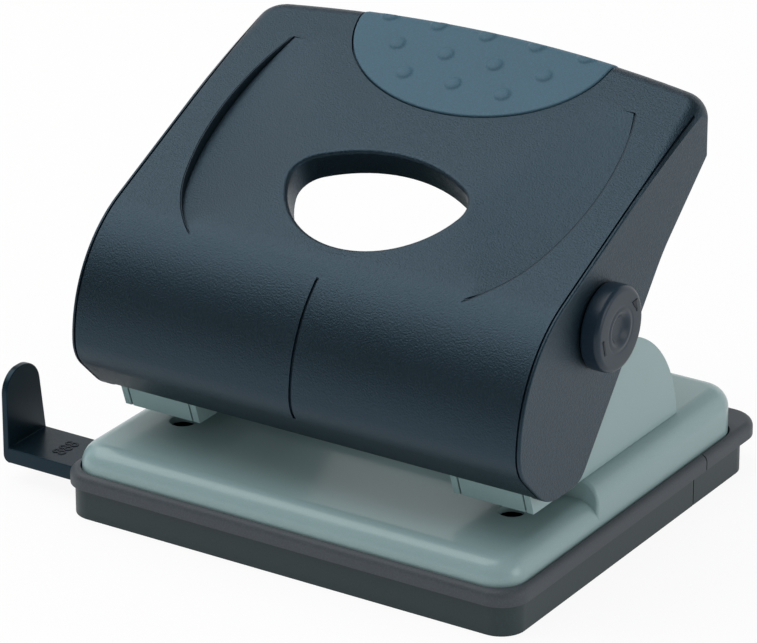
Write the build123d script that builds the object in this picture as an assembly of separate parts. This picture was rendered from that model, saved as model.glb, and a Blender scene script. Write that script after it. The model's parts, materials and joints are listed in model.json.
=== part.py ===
from build123d import *
import os
from math import cos, pi, radians, sin, sqrt, tan

# Two-hole desk punch. X runs along the line of holes, Y from the paper side to the rear, Z up.
# The origin is on the desk, under the middle of the base. All sizes are millimetres.

# Holes and paper
HOLE_PITCH = 80.0        # between the two punched holes
HOLE_D = 5.5             # punched hole, and the punch pin
HOLE_MARGIN = 12.0       # from a hole's centre to the edge of the paper
HOLE_Y = -25.5           # line of holes
PAPER_GAP = 4.5          # height of the slot that the paper goes into

# Clearances
RUN_GAP = 0.05           # radial, a shaft in its bore
MOVE_GAP = 0.3           # between pieces that slide past each other
SEAM_GAP = 0.4           # visible joint between two fixed pieces

# Chip tray and drawer
TRAY_PROUD = 0.3         # the tray's wall stands this far outside the cover's
TRAY_D = 97.2
TRAY_CORNER = 5.5
TRAY_WALL = 2.3
TRAY_FLOOR = 1.2
RIM_OUT = 1.0            # the rim stands this far outside the tray's wall
RIM_Z = 6.8              # underside of the rim
RIM_TOP = 10.2
RIM_ROUND = 1.6
SEAT_Z = 8.8             # the base plate's edge stands here
REAR_LIP = 4.4           # finger lip of the drawer, outside the rear wall
SEAM_LOW_Y = 24.5        # seam between tray and drawer, in the wall
SEAM_RIM_Y = 28.2        # the same seam, in the rim
BIN_WALL = 0.8
BIN_SIDE_GAP = 2.0

# Base plate
SHEET = 1.5              # steel of the plate and the brackets
PLATE_INSET = 0.8        # edge of the plate, inside the tray's wall
REAR_SHELF = 3.4         # tray top left bare behind the plate
LEDGE_Z = 15.5           # front ledge that the paper lies on
PLATE_CORNER = 6.5
PLATE_ROUND = 4.6        # rolled edge all round the plate
STEP_ROUND = 0.7

# Brackets
EAR_SPAN = 18.6          # over the outer faces of a bracket's two ears
EAR_R = 28.5
EAR_Y = -3.6             # centre of the ear's round outline
EAR_SINK = 2.7           # that centre lies this far under the plate's top
AXLE_BOSS_R = 4.5
WEB_FOOT_Y = -32.6       # front edge of the bracket's floor
WEB_ROOM = 0.5           # between the web and the edge of the chin in front of it
WEB_TOP_Z = 33.0
WEB_SLIT = 0.4
RIVET_D = 4.0
RIVET_HEAD_D = 7.0
RIVET_HEAD_T = 1.2
RIVET_FRONT_Y = -4.0
RIVET_REAR_Y = 15.0

# Handle cover
COVER_WALL = 2.4
EAR_ROOM = 1.8           # between an outer ear and the cover's wall
COVER_TILT = 24.9        # slope of the top face, degrees
COVER_TOP_Z = 77.7       # height of the top face over the origin
NOSE_FRONT_Y = -45.3     # foremost line of the nose
NOSE_R = 29.0            # round above that line
NOSE_LOW_R = 9.0         # round below it
CHIN_LEAN = 45.0         # lean of the chin, degrees from upright
CHIN_Z = 26.0            # lower edge of the chin, between the side walls
CHIN_WALL = 1.2          # the chin is thinner, for the brackets behind it
CHIN_THIN_Z = 33.0       # up to here
WALL_LOW_Z = 23.5        # lowest edge of the side walls
HEEL_Y = -21.5           # rear end of that edge
HEEL_ROUND = 6.0
CHIN_ROUND = 11.0        # front end of that edge, under the nose
KNEE_Y = 10.0            # the side wall's lower edge bends here
KNEE_Z = 62.2
KNEE_ROUND = 40.0
TIP_Z = 84.4             # the lower edge would meet the rear end here
TIP_ROUND = 7.0
TIP_SPARE = 1.0          # that meeting point, behind the rear end
REAR_Y = 34.5            # rear end, on the centre line
REAR_BOW = 5.0           # the rear end falls back this far at the sides
REAR_CORNER = 7.0
END_FLARE = 20.0
ROLL_R = 4.0             # rolled rear edge of the top
EDGE_ROUND = 0.4
EDGE_LAND = 0.6          # between the side edge and the shadow line along it
LINE_W = 0.45            # that shadow line
LINE_END = 25.0          # its rear end, along the slope
GROOVE_W = 0.7           # groove down the middle of the nose
GROOVE_DEEP = 0.5        # groove and shadow lines alike
GROOVE_TOP = -38.4       # upper end of the groove, along the slope
GROOVE_LOW_Z = 33.0      # lower end of the groove

# Egg-shaped hole through the cover, in the plane of the top face
OVAL_REAR = -4.1         # along the slope
OVAL_REAR_R = 33.2
OVAL_FRONT = -30.7
OVAL_FRONT_R = 21.2
OVAL_CORNER = 6.2        # round between the two
OVAL_COLLAR = 6.2        # depth of the wall round the hole
OVAL_COLLAR_T = 2.0
OVAL_LIP = 0.9

# Creases either side of the hole, across and along the slope, and the hollows inside them
CREASE_TOP = (41.0, 21.0)
CREASE_BULGE = (44.9, 0.0)
CREASE_TURN = (42.2, -21.0)
CREASE_FOOT = (30.5, -37.5)
HOLLOW_MIDDLE = (60.0, -10.0)
HOLLOW_REACH = 38.0      # from that middle to where the hollow runs out
HOLLOW_DEEP = 2.4        # at that middle
CREASE_W = 0.4           # fine groove along the crease
CREASE_SINK = 0.3        # it goes this far under the hollow's floor

# Rubber grip pad
PAD_HALF_W = 30.0
PAD_LENGTH = 22.5        # from its rounded front to the line of its widest part
PAD_REAR = 32.0          # line of its widest part, along the slope
PAD_DEEP = 1.2
PAD_PROUD = 0.3
PAD_WRAP = 8.0           # it hangs this far down the rear end
DOT_PITCH = 11.8
DOT_ROW = 7.4
DOT_ROWS = 3
DOT_REAR_COUNT = 5       # each row further forward has one dot less
DOT_D = 3.6
DOT_H = 0.45
DOT_REAR = 32.4          # rearmost row, along the slope

# Handle mechanism
AXLE_D = 5.0
AXLE_Y = -37.0
AXLE_Z = 41.0
PRESS_ANGLE = 36.0       # full stroke of the handle, degrees
BAR_D = 6.0
BAR_BOSS_R = 4.6
RIB_X = 27.0
RIB_T = 2.4
RIB_REAR_Y = -17.0
RIB_LOW_Z = 35.5
RING_OUT = 2.2           # retaining rings stand this far outside their rod
RING_T = 1.0

# Punch pins, bushes and return springs
PIN_REST = 0.4           # the pin's tip waits this far above the paper slot
PIN_TIP_CUT = 1.2        # hollow in the cutting end
BUSH_SPIGOT_D = 8.0
BUSH_D = 11.0
BUSH_H = 3.5
SPRING_WIRE = 0.8
SPRING_D = 8.0           # over the middle of the wire
SPRING_TURNS = 5
PIN_RING_DROP = 2.3      # spring ring, below the top of the pin

# Lock
KNOB_Y = -14.6
KNOB_Z = 55.3
KNOB_D = 18.0
KNOB_T = 4.2
KNOB_ROUND = 1.0
KNOB_SHAFT_D = 9.0
KNOB_RING_D = 11.0       # ring groove in the face
KNOB_GROOVE = 0.5
DIMPLE_D = 4.0
DIMPLE_DEEP = 1.0
WASHER_D = 13.0
WASHER_T = 0.8
LOCK_PIN_D = 4.0
LOCK_PIN_LENGTH = 6.0
LOCK_HOLE_D = 5.0
LOCK_REST_GAP = 0.5      # tip of the lock pin to the ear, unlocked

# Paper guide
GUIDE_ROOM = 3.7         # between the tray's front wall and the guide
GUIDE_W = 13.4
GUIDE_Z = 4.4
GUIDE_T = 3.3
GUIDE_STOP_X = -72.6     # inner face of the stop
GUIDE_STOP_T = 1.4
GUIDE_STOP_TOP = 24.6
GUIDE_TAPER = 2.4        # the stop is this much narrower at its top
GUIDE_TIP_ROUND = 4.9
GUIDE_END_X = 34.0       # inner end of the arm
RAIL_W = 3.0
RAIL_LEFT_X = -46.0
RAIL_RIGHT_X = -14.0
LEAF_T = 0.5
LEAF_LENGTH = 26.0
LEAF_X = -25.0

# Sizes that follow from the ones above
STEP_Y = HOLE_Y + HOLE_MARGIN
PLATEAU_Z = LEDGE_Z + PAPER_GAP
HOLE_X = HOLE_PITCH / 2
FLOOR_TOP = PLATEAU_Z + SHEET
EAR_OUT = HOLE_X + EAR_SPAN / 2
COVER_IN = EAR_OUT + EAR_ROOM
COVER_HALF = COVER_IN + COVER_WALL
TRAY_W = 2 * (COVER_HALF + TRAY_PROUD)
GUIDE_FRONT_Y = -TRAY_D / 2 + TRAY_WALL + GUIDE_ROOM
GUIDE_REAR_Y = GUIDE_FRONT_Y + GUIDE_W
BIN_FRONT_Y = GUIDE_REAR_Y + SEAM_GAP
BIN_TOP = SEAT_Z - MOVE_GAP
TILT = radians(COVER_TILT)
CHIN = radians(CHIN_LEAN)
NOSE_Y = NOSE_FRONT_Y + NOSE_R
NOSE_LOW_Y = NOSE_FRONT_Y + NOSE_LOW_R
NOSE_Z = COVER_TOP_Z + tan(TILT) * NOSE_Y - NOSE_R / cos(TILT)
STROKE = radians(PRESS_ANGLE)
LEVER = HOLE_Y - AXLE_Y
BAR_RISE = LEVER * tan(STROKE / 2)
BAR_Z = AXLE_Z + BAR_RISE
PIN_TOP = BAR_Z - BAR_D / 2 - MOVE_GAP
PIN_TIP = PLATEAU_Z + PIN_REST
SPRING_FOOT = FLOOR_TOP + BUSH_H
SPRING_HEAD = PIN_TOP - PIN_RING_DROP - RING_T
SIDES = {"left": -1, "right": 1}
FAR = 200.0              # longer than any piece, for cutting blocks
NEAR = 0.01              # points closer than this are the same

top_face = Plane(origin=(0, 0, COVER_TOP_Z), x_dir=(1, 0, 0), z_dir=(0, -sin(TILT), cos(TILT)))


def block(x0, x1, y0, y1, z0, z1):
    """Square block between two corners."""
    return Pos((x0 + x1) / 2, (y0 + y1) / 2, (z0 + z1) / 2) * Box(x1 - x0, y1 - y0, z1 - z0)


def round_block(x0, x1, y0, y1, z0, z1, corner):
    """Upright block with rounded corners in plan."""
    outline = Pos((x0 + x1) / 2, (y0 + y1) / 2, z0) * RectangleRounded(x1 - x0, y1 - y0, corner)
    return extrude(outline, z1 - z0)


def rod(x0, x1, y, z, diameter):
    """Round rod along X."""
    return Pos((x0 + x1) / 2, y, z) * Rot(0, 90, 0) * Cylinder(diameter / 2, x1 - x0)


def post(x, y, z0, z1, diameter):
    """Upright round rod."""
    return Pos(x, y, (z0 + z1) / 2) * Cylinder(diameter / 2, z1 - z0)


def side_plate(outline, x0, x1):
    """Outline drawn in the side view, given its thickness along X."""
    return Pos(x0, 0, 0) * extrude(Plane.YZ * outline, x1 - x0)


def pressed(y, z):
    """Where a point of the handle lies at full stroke, in the side view."""
    out = y - AXLE_Y
    up = z - AXLE_Z
    return (AXLE_Y + out * cos(STROKE) + up * sin(STROKE), AXLE_Z + up * cos(STROKE) - out * sin(STROKE))


def chin_y(inset, z):
    """Where the chin's straight face lies at a height, in the side view."""
    low_r = NOSE_LOW_R - inset
    return NOSE_LOW_Y - low_r * cos(CHIN) + tan(CHIN) * (NOSE_Z - low_r * sin(CHIN) - z)


# Base plate: a front ledge for the paper and a raised rear, one sheet with rolled edges

def plate_block(height, inset):
    """Full outline of the plate up to a height, its upper edge rolled."""
    half = TRAY_W / 2 - PLATE_INSET - inset
    front = -TRAY_D / 2 + PLATE_INSET + inset
    rear = TRAY_D / 2 - REAR_SHELF - inset
    body = round_block(-half, half, front, rear, SEAT_Z - inset, height - inset, PLATE_CORNER - inset)
    return fillet(body.faces().sort_by(Axis.Z)[-1].edges(), PLATE_ROUND - inset)


def plate_form(inset):
    ledge = plate_block(LEDGE_Z, inset)
    step = STEP_Y + inset
    raised = plate_block(PLATEAU_Z, inset) & block(-FAR, FAR, step, FAR, -FAR, FAR)
    stop_face = raised.faces().sort_by(Axis.Y)[0]
    raised = fillet(stop_face.edges().sort_by(Axis.Z)[-1], STEP_ROUND)
    return ledge + raised


def base_plate():
    plate = plate_form(0) - plate_form(SHEET)
    for side in SIDES.values():
        plate -= post(side * HOLE_X, HOLE_Y, 0, FAR, HOLE_D + 2 * RUN_GAP)
        for y in (RIVET_FRONT_Y, RIVET_REAR_Y):
            plate -= post(side * HOLE_X, y, 0, FAR, RIVET_D)
    return plate


# Chip tray: the front of the moulding is fixed to the plate, its rear is the chip drawer

def tray_moulding(seat_drop):
    half = TRAY_W / 2
    front = -TRAY_D / 2
    rear = TRAY_D / 2
    wall = round_block(-half, half, front, rear, 0, SEAT_Z, TRAY_CORNER)
    rim = round_block(-half - RIM_OUT, half + RIM_OUT, front - RIM_OUT, rear + REAR_LIP, RIM_Z, RIM_TOP,
                      TRAY_CORNER + RIM_OUT)
    rim = fillet(rim.faces().sort_by(Axis.Z)[-1].edges(), RIM_ROUND)
    gap = PLATE_INSET - SEAM_GAP
    pocket = round_block(-half + gap, half - gap, front + gap, rear - REAR_SHELF + SEAM_GAP,
                         SEAT_Z - seat_drop, FAR, PLATE_CORNER + SEAM_GAP)
    room = round_block(-half + TRAY_WALL, half - TRAY_WALL, front + TRAY_WALL, rear - TRAY_WALL, TRAY_FLOOR,
                       SEAT_Z, TRAY_CORNER - TRAY_WALL)
    return wall + rim - pocket - room


def behind_seam(gap):
    low = block(-FAR, FAR, SEAM_LOW_Y + gap, FAR, -FAR, RIM_Z - gap)
    high = block(-FAR, FAR, SEAM_RIM_Y + gap, FAR, -FAR, FAR)
    return low + high


def chip_tray():
    tray = tray_moulding(0) - behind_seam(0)
    slot_front = GUIDE_FRONT_Y - MOVE_GAP
    slot_rear = GUIDE_REAR_Y + MOVE_GAP
    slot_top = GUIDE_Z + GUIDE_T + MOVE_GAP
    tray -= block(-FAR, -TRAY_W / 2 + TRAY_WALL, slot_front, slot_rear, GUIDE_Z - MOVE_GAP, slot_top)
    for x in (RAIL_LEFT_X, RAIL_RIGHT_X):
        tray += block(x - RAIL_W / 2, x + RAIL_W / 2, GUIDE_FRONT_Y, GUIDE_REAR_Y, TRAY_FLOOR,
                      GUIDE_Z - MOVE_GAP)
    return tray


def chip_drawer():
    cap = tray_moulding(MOVE_GAP) & behind_seam(MOVE_GAP)
    half = TRAY_W / 2 - TRAY_WALL - BIN_SIDE_GAP
    floor = TRAY_FLOOR + MOVE_GAP
    rear = TRAY_D / 2 - TRAY_WALL
    outside = block(-half, half, BIN_FRONT_Y, rear, floor, BIN_TOP)
    inside = block(-half + BIN_WALL, half - BIN_WALL, BIN_FRONT_Y + BIN_WALL, rear - BIN_WALL,
                   floor + BIN_WALL, BIN_TOP)
    riser = block(-half, half, SEAM_LOW_Y + MOVE_GAP, rear, 0, floor + BIN_WALL)
    return cap + riser + (outside - inside)


# Brackets: floor on the raised plate, two ears, and a leaning web with a slit at either side

def web_y(z):
    """Front face of the web, which leans forward to pass just behind the edge of the chin."""
    reach = WEB_FOOT_Y - chin_y(CHIN_WALL, CHIN_Z) - WEB_ROOM
    return WEB_FOOT_Y - reach * (z - PLATEAU_Z) / (CHIN_Z - PLATEAU_Z)


def ear_outline(lock_hole):
    foot = PLATEAU_Z
    ear_z = PLATEAU_Z - EAR_SINK
    round_ear = Pos(EAR_Y, ear_z) * Circle(EAR_R)
    above_floor = Pos(0, foot + FAR / 2) * Rectangle(2 * FAR, FAR)
    front = make_face(Polyline(
        (WEB_FOOT_Y, foot), (web_y(WEB_TOP_Z), WEB_TOP_Z), (AXLE_Y - AXLE_BOSS_R, AXLE_Z),
        (AXLE_Y + AXLE_BOSS_R, AXLE_Z), (EAR_Y, ear_z + EAR_R), (EAR_Y, foot), close=True))
    boss = Pos(AXLE_Y, AXLE_Z) * Circle(AXLE_BOSS_R)
    outline = (round_ear & above_floor) + front + boss
    low_y, low_z = pressed(HOLE_Y, BAR_Z)
    swing = LEVER / cos(STROKE / 2) - LEVER
    notch_r = BAR_D / 2 + swing / 2 + SEAM_GAP
    notch = SlotCenterToCenter(FAR, 2 * notch_r, rotation=90)
    outline -= Pos(low_y + swing / 2, low_z + FAR / 2 + swing / 2) * notch
    outline -= Pos(AXLE_Y, AXLE_Z) * Circle(AXLE_D / 2)
    if lock_hole:
        outline -= Pos(*pressed(KNOB_Y, KNOB_Z)) * Circle(LOCK_HOLE_D / 2)
    return outline


def bracket(side):
    x = side * HOLE_X
    half = EAR_SPAN / 2
    rear = EAR_Y + sqrt(EAR_R ** 2 - (SHEET + EAR_SINK) ** 2)
    body = block(x - half, x + half, WEB_FOOT_Y, rear, PLATEAU_Z, FLOOR_TOP)
    body += side_plate(ear_outline(False), x - half, x - half + SHEET)
    body += side_plate(ear_outline(side > 0), x + half - SHEET, x + half)
    top_y = web_y(WEB_TOP_Z)
    web = make_face(Polyline((WEB_FOOT_Y, PLATEAU_Z), (top_y, WEB_TOP_Z), (top_y + SHEET, WEB_TOP_Z),
                             (WEB_FOOT_Y + SHEET, PLATEAU_Z), close=True))
    web_half = half - SHEET - WEB_SLIT
    slit = block(-WEB_SLIT, 0, WEB_FOOT_Y, WEB_FOOT_Y + 2 * SHEET, PLATEAU_Z, FLOOR_TOP)
    body -= Pos(x + half - SHEET, 0, 0) * slit
    body -= Pos(x - half + SHEET + WEB_SLIT, 0, 0) * slit
    body += side_plate(web, x - web_half, x + web_half)
    body -= post(x, HOLE_Y, 0, FAR, BUSH_SPIGOT_D)
    for y in (RIVET_FRONT_Y, RIVET_REAR_Y):
        body -= post(x, y, 0, FAR, RIVET_D)
    return body


def rivet(x, y):
    under = PLATEAU_Z - SHEET
    shank = post(x, y, under - RIVET_HEAD_T, FLOOR_TOP + RIVET_HEAD_T, RIVET_D)
    for z in (under - RIVET_HEAD_T, FLOOR_TOP):
        shank += post(x, y, z, z + RIVET_HEAD_T, RIVET_HEAD_D)
    return shank


def bracket_rivets():
    places = [(side * HOLE_X, y) for side in SIDES.values() for y in (RIVET_FRONT_Y, RIVET_REAR_Y)]
    return Compound([rivet(x, y).solid() for x, y in places])


# Handle cover: a hood, drawn once and inset for its inner face, its pocket and its pad

def cover_profile(inset, closed):
    """Side view of the hood. The closed one ends at its lower edge, the open one runs on below."""
    nose_r = NOSE_R - inset
    low_r = NOSE_LOW_R - inset
    low = WALL_LOW_Z if closed else 0.0
    chin_end = (chin_y(inset, low), low)
    chin_start = (NOSE_LOW_Y - low_r * cos(CHIN), NOSE_Z - low_r * sin(CHIN))
    nose_front = (NOSE_FRONT_Y + inset, NOSE_Z)
    nose_end = (NOSE_Y - nose_r * sin(TILT), NOSE_Z + nose_r * cos(TILT))
    rear = REAR_Y + TIP_SPARE
    roof = (rear, nose_end[1] + tan(TILT) * (rear - nose_end[0]))
    nose = [Line(chin_end, chin_start), TangentArc(chin_start, nose_front, tangent=(-sin(CHIN), cos(CHIN))),
            TangentArc(nose_front, nose_end, tangent=(0, 1))]
    if not closed:
        return make_face(Curve() + nose + [Polyline(nose_end, roof, (rear, low), chin_end)])
    tip = (rear, TIP_Z)
    knee = (KNEE_Y, KNEE_Z)
    heel = (HEEL_Y, low)
    face = make_face(Curve() + nose + [Polyline(nose_end, roof, tip, knee, heel, chin_end)])
    rounds = {heel: HEEL_ROUND, chin_end: CHIN_ROUND, tip: TIP_ROUND, knee: KNEE_ROUND}
    for corner, radius in rounds.items():
        spot = Vector(*corner, 0)
        face = fillet([v for v in face.vertices() if (Vector(v.X, v.Y, 0) - spot).length < NEAR], radius)
    return face


def cover_end(inset):
    """Block with the hood's bowed, rolled rear end. It flares past the side walls in front of that."""
    half = COVER_HALF - inset
    rear = (REAR_Y - inset) / cos(TILT)
    side = rear - REAR_BOW
    front = (half + END_FLARE, -FAR)
    plan = make_face(Curve() + [
        Polyline((half, side), front, (-front[0], -FAR), (-half, side)),
        ThreePointArc((-half, side), (0, rear), (half, side))])
    plan = fillet([v for v in plan.vertices() if v.Y > 0], REAR_CORNER - inset)
    body = extrude(top_face.offset(-inset) * plan, FAR, dir=(0, 0, -1))
    roof = body.faces().sort_by(Axis(top_face.origin, top_face.z_dir))[-1]
    return fillet(roof.edges().sort_by(Axis.Y)[-1], ROLL_R - inset)


def cover_form(inset, closed):
    half = COVER_HALF - inset
    hood = side_plate(cover_profile(inset, closed), -half, half)
    if closed:
        walls = hood.faces().filter_by(Axis.X)
        hood = fillet(walls.edges(), EDGE_ROUND - inset)
    return hood & cover_end(inset)


def oval(grow):
    """Egg-shaped hole: a wide round at the rear, a tighter one in front, and rounded corners."""
    rear = Pos(0, OVAL_REAR - OVAL_REAR_R) * Circle(OVAL_REAR_R + grow)
    front = Pos(0, OVAL_FRONT + OVAL_FRONT_R) * Circle(OVAL_FRONT_R + grow)
    outline = rear & front
    return fillet(outline.vertices(), OVAL_CORNER + grow)


def on_oval_lip(point):
    """Whether a point lies on the top face, within the box round the oval hole."""
    place = top_face.to_local_coords(point)
    level = abs(place.Z) < NEAR
    inside = OVAL_FRONT - NEAR < place.Y < OVAL_REAR + NEAR
    return level and inside and abs(place.X) < OVAL_FRONT_R


def pad_outline(grow):
    return Pos(0, PAD_REAR) * Ellipse(PAD_HALF_W + grow, PAD_LENGTH + grow)


def pad_zone(grow):
    """Room of the grip pad, from above the top face to its wrap over the rear end."""
    return extrude(top_face * pad_outline(grow), 2 * PAD_WRAP, both=True)


def hollow():
    """Shallow hollow with a sharp, grooved outer edge, the crease. Its floor runs out towards the hole."""
    side_arc = ThreePointArc(CREASE_TOP, CREASE_BULGE, CREASE_TURN)
    foot_arc = TangentArc(CREASE_TURN, CREASE_FOOT, tangent=side_arc % 1)
    inner = Polyline(CREASE_FOOT, (0, CREASE_FOOT[1]), (0, CREASE_TOP[1]), CREASE_TOP)
    outline = make_face(Curve() + [side_arc, foot_arc, inner])
    ball_r = (HOLLOW_REACH ** 2 + HOLLOW_DEEP ** 2) / (2 * HOLLOW_DEEP)
    ball_middle = Pos(*HOLLOW_MIDDLE, ball_r - HOLLOW_DEEP)
    dish = extrude(outline, HOLLOW_DEEP, both=True) & (ball_middle * Sphere(ball_r))
    line = extrude(trace([side_arc, foot_arc], CREASE_W), HOLLOW_DEEP, both=True)
    return dish + (line & (ball_middle * Sphere(ball_r + CREASE_SINK)))


def cover_rib(side, room):
    """Inner rib that carries the axle and the press bar."""
    slab = block(side * RIB_X - RIB_T / 2, side * RIB_X + RIB_T / 2, -FAR, RIB_REAR_Y, RIB_LOW_Z, FAR)
    return slab & room


def cover_bosses(side):
    inner = EAR_OUT + SEAM_GAP
    ends = sorted((side * inner, side * COVER_IN))
    return rod(*ends, AXLE_Y, AXLE_Z, 2 * AXLE_BOSS_R) + rod(*ends, HOLE_Y, BAR_Z, 2 * BAR_BOSS_R)


def handle_cover():
    outside = cover_form(0, True)
    room = cover_form(COVER_WALL, False)
    skin = outside - cover_form(PAD_DEEP, False)
    cover = outside - room
    cover -= block(-COVER_IN, COVER_IN, -FAR, HEEL_Y, 0, CHIN_Z)
    cover -= cover_form(CHIN_WALL, False) & block(-COVER_IN, COVER_IN, -FAR, HEEL_Y, 0, CHIN_THIN_Z)
    collar = extrude(top_face * oval(OVAL_COLLAR_T), -OVAL_COLLAR)
    cover += collar
    cover -= extrude(top_face * oval(0), FAR, both=True)
    cover = fillet([edge for edge in cover.edges() if on_oval_lip(edge.center())], OVAL_LIP)
    cover -= skin & pad_zone(SEAM_GAP)
    groove = outside - cover_form(GROOVE_DEEP, False)
    groove_end = GROOVE_TOP * cos(TILT)
    cover -= groove & block(-GROOVE_W / 2, GROOVE_W / 2, -FAR, groove_end, GROOVE_LOW_Z, FAR)
    right_hollow = hollow()
    for side_hollow in (right_hollow, mirror(right_hollow, Plane.YZ)):
        cover -= top_face.location * side_hollow
    line_x = COVER_HALF - EDGE_LAND - LINE_W / 2
    for side in SIDES.values():
        line_ends = (side * line_x - LINE_W / 2, side * line_x + LINE_W / 2)
        cover -= groove & block(*line_ends, -FAR, LINE_END * cos(TILT), 0, FAR)
        cover += cover_rib(side, room)
        cover += cover_bosses(side)
    cover -= rod(-COVER_IN, COVER_IN, AXLE_Y, AXLE_Z, AXLE_D + 2 * RUN_GAP)
    cover -= rod(-COVER_IN, COVER_IN, HOLE_Y, BAR_Z, BAR_D)
    cover -= rod(EAR_OUT, FAR, KNOB_Y, KNOB_Z, KNOB_SHAFT_D + 2 * RUN_GAP)
    return cover


def grip_dot():
    """Low dome, with a short stem that reaches into the pad."""
    ball_r = (DOT_D ** 2 / 4 + DOT_H ** 2) / (2 * DOT_H)
    ball = Pos(0, 0, DOT_H - ball_r) * Sphere(ball_r)
    return ball & (Pos(0, 0, DOT_H / 2) * Cylinder(DOT_D, 2 * DOT_H))


def grip_pad():
    proud = cover_form(-PAD_PROUD, True) - cover_form(PAD_DEEP, False)
    pad = proud & pad_zone(0)
    dot_room = cover_form(-PAD_PROUD - DOT_H, True)
    for row in range(DOT_ROWS):
        count = DOT_REAR_COUNT - row
        for k in range(count):
            x = (k - (count - 1) / 2) * DOT_PITCH
            dot = top_face.offset(PAD_PROUD).location * Pos(x, DOT_REAR - row * DOT_ROW, 0) * grip_dot()
            pad += dot & dot_room
    return pad


def ring(x0, x1, y, z, rod_d):
    """Retaining ring round a rod along X."""
    return rod(x0, x1, y, z, rod_d + 2 * RING_OUT) - rod(x0, x1, y, z, rod_d)


def ring_pair(inner_x, y, z, rod_d):
    """A ring at either side, its outer face at the given distance from the middle."""
    right = ring(inner_x - RING_T, inner_x, y, z, rod_d)
    left = ring(-inner_x, -inner_x + RING_T, y, z, rod_d)
    return Compound([left.solid(), right.solid()])


def pivot_axle():
    end = COVER_IN - MOVE_GAP
    return rod(-end, end, AXLE_Y, AXLE_Z, AXLE_D)


def press_bar():
    return rod(-COVER_IN, COVER_IN, HOLE_Y, BAR_Z, BAR_D)


# Punch pins, their guides and springs

def punch_pin(x):
    pin = post(x, HOLE_Y, PIN_TIP, PIN_TOP, HOLE_D)
    hollow_r = (HOLE_D ** 2 / 4 + PIN_TIP_CUT ** 2) / (2 * PIN_TIP_CUT)
    return pin - rod(x - HOLE_D, x + HOLE_D, HOLE_Y, PIN_TIP + PIN_TIP_CUT - hollow_r, 2 * hollow_r)


def spring_ring(x):
    return post(x, HOLE_Y, SPRING_HEAD, SPRING_HEAD + RING_T, HOLE_D + 2 * RING_OUT) \
        - post(x, HOLE_Y, SPRING_HEAD, SPRING_HEAD + RING_T, HOLE_D)


def guide_bush(x):
    bush = post(x, HOLE_Y, PLATEAU_Z, FLOOR_TOP, BUSH_SPIGOT_D)
    bush += post(x, HOLE_Y, FLOOR_TOP, SPRING_FOOT, BUSH_D)
    return bush - post(x, HOLE_Y, PLATEAU_Z, SPRING_FOOT, HOLE_D + 2 * RUN_GAP)


def spring_point(x, turn):
    """Middle of the wire and its direction, a number of turns up from the foot."""
    rise = (SPRING_HEAD - SPRING_FOOT - SPRING_WIRE) / SPRING_TURNS
    angle = 2 * pi * turn
    r = SPRING_D / 2
    place = Vector(x + r * cos(angle), HOLE_Y + r * sin(angle), SPRING_FOOT + SPRING_WIRE / 2 + rise * turn)
    along = Vector(-2 * pi * r * sin(angle), 2 * pi * r * cos(angle), rise)
    return place, along.normalized()


def biarc(start, along, end, end_along):
    """Two arcs that leave one point and reach another in given directions."""
    span = end - start
    both = along + end_along
    bend = 2 * (1 - along.dot(end_along))
    reach = (sqrt(span.dot(both) ** 2 + bend * span.dot(span)) - span.dot(both)) / bend
    middle = (start + end + (along - end_along) * reach) * 0.5
    mid_along = (span - both * reach).normalized()
    return [TangentArc(start, middle, tangent=along), TangentArc(middle, end, tangent=mid_along)]


def return_spring(x):
    """Coil spring, one unbroken wire in quarter turns."""
    knots = [spring_point(x, k / 4) for k in range(4 * SPRING_TURNS + 1)]
    arcs = []
    for (start, along), (end, end_along) in zip(knots, knots[1:]):
        arcs += biarc(start, along, end, end_along)
    path = Wire(arcs)
    section = Plane(origin=knots[0][0], z_dir=knots[0][1]) * Circle(SPRING_WIRE / 2)
    return sweep(section, path=path)


def spring_gap():
    """Least free gap between neighbouring turns of the spring."""
    steps = 48
    points = [spring_point(0, k / steps)[0] for k in range(steps * SPRING_TURNS + 1)]
    far_apart = steps // 2
    pairs = [(a, b) for k, a in enumerate(points) for b in points[k + far_apart:]]
    return min((a - b).length for a, b in pairs) - SPRING_WIRE


# Lock: a knob in the right side wall, and a pin that it screws out into the ear

def lock_knob():
    inner = COVER_IN - MOVE_GAP - WASHER_T
    face = COVER_HALF + MOVE_GAP
    disc = rod(face, face + KNOB_T, KNOB_Y, KNOB_Z, KNOB_D)
    disc = fillet(disc.edges().filter_by(GeomType.CIRCLE), KNOB_ROUND)
    outer = face + KNOB_T
    groove = rod(outer - KNOB_GROOVE, outer, KNOB_Y, KNOB_Z, KNOB_RING_D + 2 * KNOB_GROOVE) \
        - rod(outer - KNOB_GROOVE, outer, KNOB_Y, KNOB_Z, KNOB_RING_D)
    dimple_r = (DIMPLE_D ** 2 / 4 + DIMPLE_DEEP ** 2) / (2 * DIMPLE_DEEP)
    dimple = Pos(outer - DIMPLE_DEEP + dimple_r, KNOB_Y, KNOB_Z) * Sphere(dimple_r)
    knob = disc - groove - dimple + rod(inner, face, KNOB_Y, KNOB_Z, KNOB_SHAFT_D)
    pin_end = EAR_OUT + LOCK_REST_GAP + LOCK_PIN_LENGTH
    return knob - rod(inner, pin_end + MOVE_GAP, KNOB_Y, KNOB_Z, LOCK_PIN_D + 2 * RUN_GAP)


def lock_washer():
    outer = COVER_IN - MOVE_GAP
    return rod(outer - WASHER_T, outer, KNOB_Y, KNOB_Z, WASHER_D) \
        - rod(outer - WASHER_T, outer, KNOB_Y, KNOB_Z, KNOB_SHAFT_D)


def lock_pin():
    tip = EAR_OUT + LOCK_REST_GAP
    return rod(tip, tip + LOCK_PIN_LENGTH, KNOB_Y, KNOB_Z, LOCK_PIN_D)


# Paper guide: a flat arm in the tray with an upright stop at its end

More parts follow.
